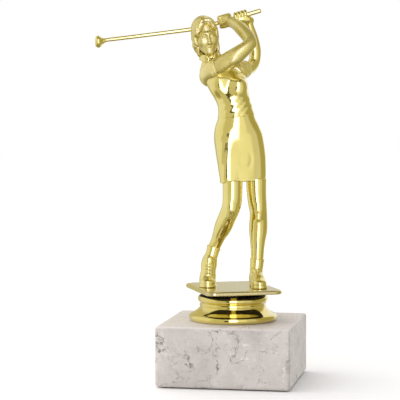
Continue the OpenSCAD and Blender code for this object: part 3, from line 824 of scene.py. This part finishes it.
def right_hand_form(h):
    """Seen from the back: the knuckles roll over the grip and the thumb lies under it."""
    d = slab(h, (-0.3, -1.5, 0.5), (3.5, 1.7, 2.7), (-14, 0, 0), 1.5)
    for x, r in ((-2.8, 0.95), (-0.95, 1.05), (0.9, 1.05), (2.65, 0.95)):
        d = join(d, finger(h, x, 0.25, 60, 215, r, 2.1), 0.25)
        d = join(d, ell(h, (x, -1.4, 2.4), (0.95, 1.2, 0.9)), 0.9)
    d = join(d, limb(h, [(4.3, -4.9, -2.95, 2.65), (2.7, -2.6, -1.3, 2.5), (0.8, -1.7, 0.1, 2.4)]), 1.6)
    return join(d, limb(h, [(1.4, -2.5, -2.3, 1.2), (-0.8, -1.9, -2.8, 1.1), (-3.0, -1.0, -2.6, 0.95)]), 0.5)


def left_hand_form(h):
    """The knuckles stand over the grip; below them lie the thumb and the heel of the hand."""
    d = ell(h, (0.2, 1.4, -0.4), (3.9, 2.0, 2.6), (20, 0, 0))
    for x, r in ((-2.9, 0.95), (-1.05, 1.05), (0.8, 1.05), (2.6, 0.95)):
        d = join(d, finger(h, x, -0.2, 150, 0, r, 2.1), 0.18)
        d = join(d, ell(h, (x, -0.6, 2.1), (0.9, 1.1, 0.75)), 0.5)
    d = join(d, limb(h, [(3.8, 0.9, -3.4, 2.25), (2.6, 0.6, -2.2, 2.35), (1.2, 0.4, -1.5, 2.2)]), 1.2)
    return join(d, limb(h, [(3.0, -0.6, -2.5, 1.9), (0.8, -1.4, -2.0, 1.6), (-1.6, -1.9, -1.5, 1.25),
                            (-3.2, -1.9, -1.1, 0.9)]), 0.6)


def right_limb(g):
    d = limb(g, [
        (-10.5, -2.6, 113.9, 4.9), (-7.0, -4.5, 115.8, 5.0), (-3.2, -6.3, 118.5, 4.75),
        (-0.2, -7.2, 120.7, 4.4),
        (2.8, -7.7, 122.8, 4.1), (6.0, -7.4, 125.2, 3.7), (8.2, -6.4, 127.4, 3.4), (8.6, -4.8, 129.6, 3.35),
        (7.2, -2.2, 132.4, 3.55), (4.9, 1.0, 135.1, 3.5), (2.6, 4.4, 137.4, 3.15), (0.6, 7.2, 138.9, 2.7),
        (-1.0, 9.4, 139.7, 2.5)])
    d = join(d, ell(g, (1.0, -8.0, 120.4), (4.6, 3.4, 3.4), (0, -38, 8)), 2.0)
    d = join(d, ell(g, (10.2, -6.2, 127.6), (1.6, 1.7, 1.6)), 1.4)
    return join(d, right_hand_form(along_grip(g, RIGHT_GRIP)), 1.0)


def left_limb(g):
    d = limb(g, [
        (4.6, 6.0, 114.3, 3.9), (6.4, 8.2, 114.8, 3.95), (8.8, 11.6, 115.6, 3.55), (10.6, 14.4, 117.2, 3.25),
        (11.7, 16.0, 120.0, 3.1), (12.0, 16.0, 123.6, 3.15), (11.7, 15.4, 127, 3.1), (10.9, 14.6, 131, 2.85),
        (9.9, 13.8, 134.6, 2.55), (9.0, 13.2, 137.4, 2.3), (8.2, 12.9, 139.6, 2.2)])
    d = join(d, ell(g, (11.6, 18.0, 118.4), (1.6, 1.5, 1.6)), 1.4)
    return join(d, left_hand_form(along_grip(g, LEFT_GRIP)), 0.8)


def bore(g, at):
    """The hole the grip passes through."""
    h = along_grip(g, at)
    return np.sqrt(h.y ** 2 + h.z ** 2) - 1.1


def right_arm():
    g = clay((-10, -14, 108.5), (14, 13, 144), 0.27)
    d = soften(right_limb(g), 1)
    carve("right_arm", g, cut(d, plane(g, *RIGHT_WRIST), 0.03), shade=d, material=SKIN)


def right_hand():
    g = clay((-9.5, 5.5, 135), (2.5, 17, 146), 0.17)
    d = soften(right_limb(g), 2)
    part = cut(d, -plane(g, *RIGHT_WRIST), 0.03)
    carve("right_hand", g, cut(part, -bore(g, RIGHT_GRIP), 0.05), shade=d, material=SKIN)


def left_arm():
    g = clay((3.5, 3.5, 109.5), (17, 22, 144), 0.27)
    d = soften(left_limb(g), 1)
    carve("left_arm", g, cut(d, plane(g, *LEFT_WRIST), 0.03), shade=d)


def left_hand():
    g = clay((-0.5, 6.5, 136), (12, 17.5, 148.5), 0.17)
    d = soften(left_limb(g), 2)
    part = cut(d, -plane(g, *LEFT_WRIST), 0.03)
    carve("left_hand", g, cut(part, -bore(g, LEFT_GRIP), 0.05), shade=d)


# ---------------------------------------------------------------- club
CLUB_LINE = [(14.9, 12.0, 146.0), (4.3, 12.0, 142.9), (-7.6, 12.2, 139.5), (-14.5, 12.6, 137.6),
             (-21.9, 13.0, 136.1), (-49.0, 14.0, 132.7), (-68.5, 15.0, 130.4)]


def tube(name, points, radius_at, shares, sides):
    """A round bar swept along points. radius_at gives the radius at each of the shares of its length."""
    pts = [Vector(p) for p in points]
    cum = [0.0]
    for a, b in zip(pts, pts[1:]):
        cum.append(cum[-1] + (b - a).length)
    loops = []
    for share in shares:
        s = share * cum[-1]
        i = max(0, min(len(pts) - 2, next((k - 1 for k, c in enumerate(cum) if c > s), len(pts) - 2)))
        f = (s - cum[i]) / (cum[i + 1] - cum[i])
        p = pts[i].lerp(pts[i + 1], f)
        u = (pts[min(i + 2, len(pts) - 1)] - pts[max(i - 1, 0)]).normalized()
        v = u.cross(Vector((0, 1, 0))).normalized()
        w = u.cross(v)
        r = radius_at(share)
        loops.append([FIGURE @ (p + v * math.cos(a) * r + w * math.sin(a) * r)
                      for a in np.arange(sides) * 2 * math.pi / sides])
    me = ring_mesh(name, loops)
    for p in me.polygons:
        p.use_smooth = len(p.vertices) == 4
    piece(name, me, name)


def club():
    fine = [tuple(p) for p in spline(CLUB_LINE, 8)]
    grip, shaft = fine[:17], fine[16:]

    def grip_radius(s):
        butt = 1.26 - 0.08 * s
        edge = min(1, max(0.0, s) / 0.03) ** 0.5
        groove = 0.008 * math.cos(s * 2 * math.pi * 16) if 0.08 < s < 0.97 else 0
        return butt * (0.72 + 0.28 * edge) + groove - 0.10

    def shaft_radius(s):
        return 1.12 - 0.10 * s + (0.05 if s < 0.03 else 0)

    tube("club_grip", grip, grip_radius, [0, 0.004, 0.012, 0.03, *np.linspace(0.045, 1, 120)], 32)
    tube("club_shaft", shaft, shaft_radius, np.linspace(0, 1, 60), 32)
    # a rounded wood head seen almost end on, with its face turned away from the shaft
    place = Matrix.Translation((-71.2, 14.8, 129.7))
    g = clay((-3.4, -5.2, -4.6), (4.4, 4.8, 4.4), 0.15)
    d = join(ell(g, (-0.5, 0, -0.1), (2.2, 3.7, 3.25)), cone(g, (0, 0, 0), (3.2, 0.2, 0.6), 1.9, 1.05), 1.2)
    d = cut(d, -(g.x + 2.15 + 0.02 * (g.y ** 2 + g.z ** 2)), 0.35)
    for i in range(-2, 3):
        score = np.maximum(np.abs(g.z - i * 0.85) - 0.09, np.maximum(g.x + 1.98, np.abs(g.y) - 2.2))
        d = cut(d, -score, 0.06)
    d = d - 0.10 * bell(g.x, 2.4, 0.35)
    carve("club_head", g, soften(d), place)


# ---------------------------------------------------------------- riser, platform, block and felt
def lathe(name, outline, z0, sides, replaced):
    """A turned shell: outline of r, z in mm from the foot's inner edge round to the top's inner edge."""
    me = ring_mesh(name, [circle(r * MM, z0 + z * MM, sides) for r, z in outline], closed=True)
    for p in me.polygons:
        p.use_smooth = True
    return piece(name, me, replaced)


def round_off(points, radius, steps=4):
    """Rounds each corner of an open outline of r, z points."""
    out = [points[0]]
    for a, b, c in zip(points, points[1:], points[2:]):
        a, b, c = (np.array(v, dtype=float) for v in (a, b, c))
        ra = min(radius, np.linalg.norm(a - b) * 0.45)
        rc = min(radius, np.linalg.norm(c - b) * 0.45)
        p, q = b + (a - b) / np.linalg.norm(a - b) * ra, b + (c - b) / np.linalg.norm(c - b) * rc
        for t in np.linspace(0, 1, steps + 1):
            out.append(tuple((1 - t) ** 2 * p + 2 * t * (1 - t) * b + t ** 2 * q))
    return out + [points[-1]]


RISER_PAINTED_SHADE_R = 16.9 * MM  # inside this radius the riser's recess gets the painted shade


def riser():
    outer = [(20.6, 0), (22.3, 0), (23.0, 0.3), (23.3, 1.0), (23.3, 2.3), (23.0, 3.05), (22.2, 3.6),
             (20.9, 4.2), (19.6, 4.95), (18.5, 5.85), (17.7, 6.8), (17.35, 7.5), (17.6, 7.95), (17.65, 8.45),
             (17.45, 8.95), (17.35, 9.25), (17.75, 9.75), (18.3, 10.3), (18.6, 11.05), (18.6, 11.8),
             (18.35, 12.5), (17.9, 13.1), (17.2, 13.4), (15.5, 13.4), (15.2, 13.2), (15.2, 12.2),
             (8.3, 12.2), (8.3, 0.1), (10.4, 0.0), (10.4, 10.4), (15.2, 10.4), (15.2, 6.6), (20.6, 2.4)]
    o = lathe("riser", round_off(outer, 0.6, 3), BLOCK_TOP, 160, "riser")
    o.data.materials[0] = MIRROR
    o.data.materials.append(PAINTED_SHADE_AND_REFLECTION)
    # painted shade on the recess inside that radius
    for p in o.data.polygons:
        p.material_index = int(math.hypot(p.center.x, p.center.y) < RISER_PAINTED_SHADE_R)


def plan(w, d, corner, steps):
    """A rounded rectangle's outline, anticlockwise, in mm."""
    out = []
    x, y = w / 2 - corner, d / 2 - corner
    for i, (sx, sy) in enumerate(((1, 1), (-1, 1), (-1, -1), (1, -1))):
        for k in range(steps + 1):
            a = math.radians(90 * i + 90 * k / steps)
            out.append((sx * x + corner * math.cos(a), sy * y + corner * math.sin(a)))
    return out


PLATE_W, PLATE_D, PLATE_T, PLATE_CORNER, PLATE_TURN = 41, 50, 2.2, 5.0, math.radians(14.5)


def platform():
    """The oblong platform, with its bright bevelled rim, on a round boss and spigot."""
    me = bpy.data.meshes.new("platform")
    bm = bmesh.new()
    turn = Matrix.Rotation(FIGURE_TURN + PLATE_TURN, 4, "Z")
    top, low = PLATE_TOP / MM, PLATE_TOP / MM - PLATE_T
    rim = [(2.4, low), (0.5, low), (0.18, low + 0.12), (0, low + 0.4), (0, low + 1.25), (0.12, low + 1.55),
           (0.42, low + 1.9), (0.8, low + 2.1), (1.3, low + PLATE_T)]
    rings = []
    for inset, z in rim:
        outline = plan(PLATE_W - 2 * inset, PLATE_D - 2 * inset, PLATE_CORNER - inset, 10)
        rings.append([bm.verts.new(turn @ Vector((x * MM, y * MM, z * MM))) for x, y in outline])
    bridge(bm, rings)
    # the top dips by a hair towards the middle, so that its reflection drifts as on the moulding
    previous = rings[-1]
    for share in (0.86, 0.7, 0.5, 0.3, 0.12):
        outline = plan((PLATE_W - 2.6) * share, (PLATE_D - 2.6) * share, (PLATE_CORNER - 1.3) * share, 10)
        ring = [bm.verts.new(turn @ Vector((x * MM, y * MM, (top - 0.10 * (1 - share ** 2)) * MM)))
                for x, y in outline]
        bridge(bm, [previous, ring])
        previous = ring
    bm.faces.new(previous)
    # underside: boss into the riser's recess, spigot down its bore
    boss, spigot = low - 3.3, low - 6.5
    previous = rings[0]
    for r, z in ((14.9, low), (14.9, boss + 0.3), (14.6, boss), (8.0, boss), (8.0, spigot), (3.2, spigot)):
        ring = []
        for v in rings[0]:
            a = math.atan2(v.co.y, v.co.x)
            ring.append(bm.verts.new((r * MM * math.cos(a), r * MM * math.sin(a), z * MM)))
        bridge(bm, [ring, previous])
        previous = ring
    bm.faces.new(previous[::-1])
    write(bm, me)
    for p in me.polygons:
        p.use_smooth = True
    o = piece("platform", me, "platform", material=SATIN)
    # painted shade: the underside, boss and spigot get the near-black finish
    me.materials.append(PAINTED_SHADE_AND_REFLECTION)
    for p in me.polygons:
        p.material_index = int(p.center.z < low * MM + 1e-5)
    sharp = o.modifiers.new("edges", "EDGE_SPLIT")
    sharp.split_angle = math.radians(50)


COUNTERBORE_R, COUNTERBORE_DEEP, ROD_HOLE_R = 13 * MM, 12 * MM, 3.5 * MM


def block():
    lo, hi = (Vector(v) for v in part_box("marble_block"))
    me = bpy.data.meshes.new("marble_block")
    bm = bmesh.new()
    box = Matrix.Translation((lo + hi) / 2) @ Matrix.Diagonal((*(hi - lo), 1))
    bmesh.ops.create_cube(bm, size=1, matrix=box)
    bmesh.ops.bevel(bm, geom=bm.edges[:], offset=1.25 * MM, segments=3, profile=0.42, affect="EDGES")
    write(bm, me)
    o = piece("marble_block", me, "marble_block", MARBLE)
    for p in me.polygons:
        p.use_smooth = p.area < 2e-4
    # one stepped cutter takes out the counterbore and the rod's hole
    past, step = 2 * MM, lo.z + COUNTERBORE_DEEP
    profile = [(COUNTERBORE_R, lo.z - past), (COUNTERBORE_R, step), (ROD_HOLE_R, step),
               (ROD_HOLE_R, hi.z + past)]
    cutter = ring_mesh("counterbore", [circle(r, z, 64) for r, z in profile])
    tool = bpy.data.objects.new("counterbore_tool", cutter)
    bpy.context.collection.objects.link(tool)
    cutting = o.modifiers.new("bore", "BOOLEAN")
    cutting.object, cutting.operation, cutting.solver = tool, "DIFFERENCE", "EXACT"
    apply_modifiers(o)
    bpy.data.objects.remove(tool)


def apply_modifiers(o):
    """Writes the evaluated shape back into the object's own mesh."""
    dg = bpy.context.evaluated_depsgraph_get()
    me = bpy.data.meshes.new_from_object(o.evaluated_get(dg))
    o.modifiers.clear()
    o.data = me


def felt_sheet():
    lo, hi = (Vector(v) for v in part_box("felt_sheet"))
    rings = []
    side = (hi.x - lo.x) / MM
    for inset, z in ((0.25, lo.z), (0.0, lo.z + 0.15 * MM), (0.0, hi.z - 0.15 * MM), (0.15, hi.z)):
        w = side - 2 * inset
        rings.append([(x * MM, y * MM, z) for x, y in plan(w, w, 2.2, 6)])
    piece("felt_sheet", ring_mesh("felt_sheet", rings), "felt_sheet", FELT)


# ---------------------------------------------------------------- studio
def studio():
    scene = bpy.context.scene
    scene.view_settings.view_transform = "Standard"
    world = bpy.data.worlds.new("studio")
    scene.world = world
    world.use_nodes = True
    t = world.node_tree
    t.nodes.clear()
    out = node(t, "ShaderNodeOutputWorld")
    co = node(t, "ShaderNodeTexCoord").outputs["Generated"]
    xyz = split(t, co)
    # azimuth in degrees from the camera's own bearing, positive to the viewer's right
    bearing = maths(t, "ARCTAN2", xyz.outputs["X"], maths(t, "MULTIPLY", xyz.outputs["Y"], -1.0))
    azimuth = maths(t, "SUBTRACT", maths(t, "MULTIPLY", bearing, 180 / math.pi), math.degrees(CAMERA_AZIMUTH))
    height = maths(t, "MULTIPLY", maths(t, "ARCSINE", xyz.outputs["Z"]), 180 / math.pi)

    def band(value, a, b, soft):
        """1 between a and b, falling to 0 over soft."""
        up = mapped(t, value, a - soft, a, 0.0, 1.0)
        down = mapped(t, value, b, b + soft, 1.0, 0.0)
        return maths(t, "MULTIPLY", up, down)

    def patch(az, el, soft=(4, 6)):
        return maths(t, "MULTIPLY", band(azimuth, *az, soft[0]), band(height, *el, soft[1]))

    def shade(rgb, strength):
        return tuple(c * strength for c in rgb)

    warm, dull, neutral, umber = (1.0, 0.90, 0.45), (1.0, 0.95, 0.72), (1.0, 0.98, 0.92), (1.0, 0.75, 0.45)
    light = ramp(t, mapped(t, height, -60, 75, 0.0, 1.0),
                 [(0.0, shade(warm, 0.30)), (0.30, shade(warm, 0.56)), (0.45, shade(neutral, 0.70)),
                  (0.72, shade(neutral, 0.72)), (0.90, shade(warm, 0.30))])
    for az, el, soft, color in (((-128, -62), (-30, 44), (14, 14), shade(neutral, 0.88)),
                                ((-56, -23), (-45, 44), (10, 10), shade(dull, 0.66)),
                                ((3, 34), (-42, 46), (6, 10), shade(neutral, 1.0)),
                                ((44, 66), (-40, 44), (12, 10), shade(neutral, 0.74)),
                                ((70, 132), (-40, 44), (10, 12), shade(warm, 0.46)),
                                ((142, 172), (-20, 60), (10, 10), shade(neutral, 1.0)),
                                ((-176, -150), (-20, 60), (10, 10), shade(warm, 0.60)),
                                ((-84, -30), (60, 80), (10, 8), shade(umber, 0.12)),
                                ((32, 84), (60, 80), (10, 8), shade(umber, 0.14)),
                                ((-11, 10.5), (-30, 50), (2.0, 8), shade((1.0, 0.98, 1.5), 2.7)),
                                ((-23, -12.5), (-18, 10), (1.0, 2.0), (0.01, 0.008, 0.006))):
        light = mix(t, patch(az, el, soft), light, color)
    glossy = node(t, "ShaderNodeBackground")
    t.links.new(light, glossy.inputs["Color"])
    # the even fill is brighter from above and from the viewer's left
    fill = maths(t, "ADD", 0.92, maths(t, "MULTIPLY", xyz.outputs["X"], -0.86))
    fill = maths(t, "ADD", fill, maths(t, "MULTIPLY", xyz.outputs["Z"], 0.30))
    soft = node(t, "ShaderNodeBackground", Color=(1, 0.985, 0.97, 1))
    t.links.new(fill, soft.inputs["Strength"])
    white = node(t, "ShaderNodeBackground", Color=(1, 1, 1, 1))
    path = node(t, "ShaderNodeLightPath")
    seen = soft
    for ray, shown in (("Is Glossy Ray", glossy), ("Is Camera Ray", white)):
        choice = node(t, "ShaderNodeMixShader")
        for i, source in enumerate((path.outputs[ray], seen.outputs[0], shown.outputs[0])):
            t.links.new(source, choice.inputs[i])
        seen = choice
    t.links.new(seen.outputs[0], out.inputs["Surface"])

    me = bpy.data.meshes.new("floor")
    bm = bmesh.new()
    bmesh.ops.create_grid(bm, x_segments=8, y_segments=8, size=3)
    bm.to_mesh(me)
    bm.free()
    floor = bpy.data.objects.new("floor", me)
    bpy.context.collection.objects.link(floor)
    m, _, fb, _ = tree("floor")
    settle(fb, Base_Color=(0.97, 0.97, 0.97, 1), Roughness=0.9, Specular_IOR_Level=0.1)
    me.materials.append(m)
    floor.visible_glossy = False


GOLD = gold("gold_plating")
SATIN = gold("gold_platform", rough=0.26, deep=(0.62, 0.52, 0.20), pale=(0.72, 0.62, 0.28), grain=0.02)
CAST = gold("gold_cast", rough=0.17, deep=(0.74, 0.60, 0.12), pale=(0.87, 0.76, 0.24), grain=0.30)
SKIN = gold("gold_arms", rough=0.26, deep=(0.66, 0.55, 0.11), pale=(0.80, 0.70, 0.22), grain=0.10)
# painted light: a paler copy of the plating for the sleeves, to brighten them
SLEEVE_PAINTED_LIGHT = gold("gold_sleeves_painted_light", rough=0.30, deep=(0.84, 0.72, 0.24), pale=(0.95, 0.85, 0.34), grain=0.14)
HAIR = gold("gold_hair", rough=0.19, deep=(0.66, 0.54, 0.13), pale=(0.84, 0.73, 0.25), grain=0.12,
            strand=0.55)
MIRROR = gold("gold_riser", rough=0.09, deep=(0.66, 0.51, 0.07), pale=(0.82, 0.69, 0.15))
PAINTED_SHADE_AND_REFLECTION = painted_shade_and_reflection()
MARBLE = marble()
FELT = felt()
ZINC = zinc()

make_camera()
studio()
for make in (left_leg, right_leg, left_sock, right_sock, left_shoe, right_shoe, skirt, shirt, right_sleeve,
             left_sleeve, collar, head, hair, right_arm, left_arm, left_hand, right_hand, club, riser,
             platform, block, felt_sheet):
    make()
for name in ("tie_rod", "base_washer", "base_nut", "captive_nut"):
    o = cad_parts[name]
    o.data.materials.clear()
    o.data.materials.append(ZINC)
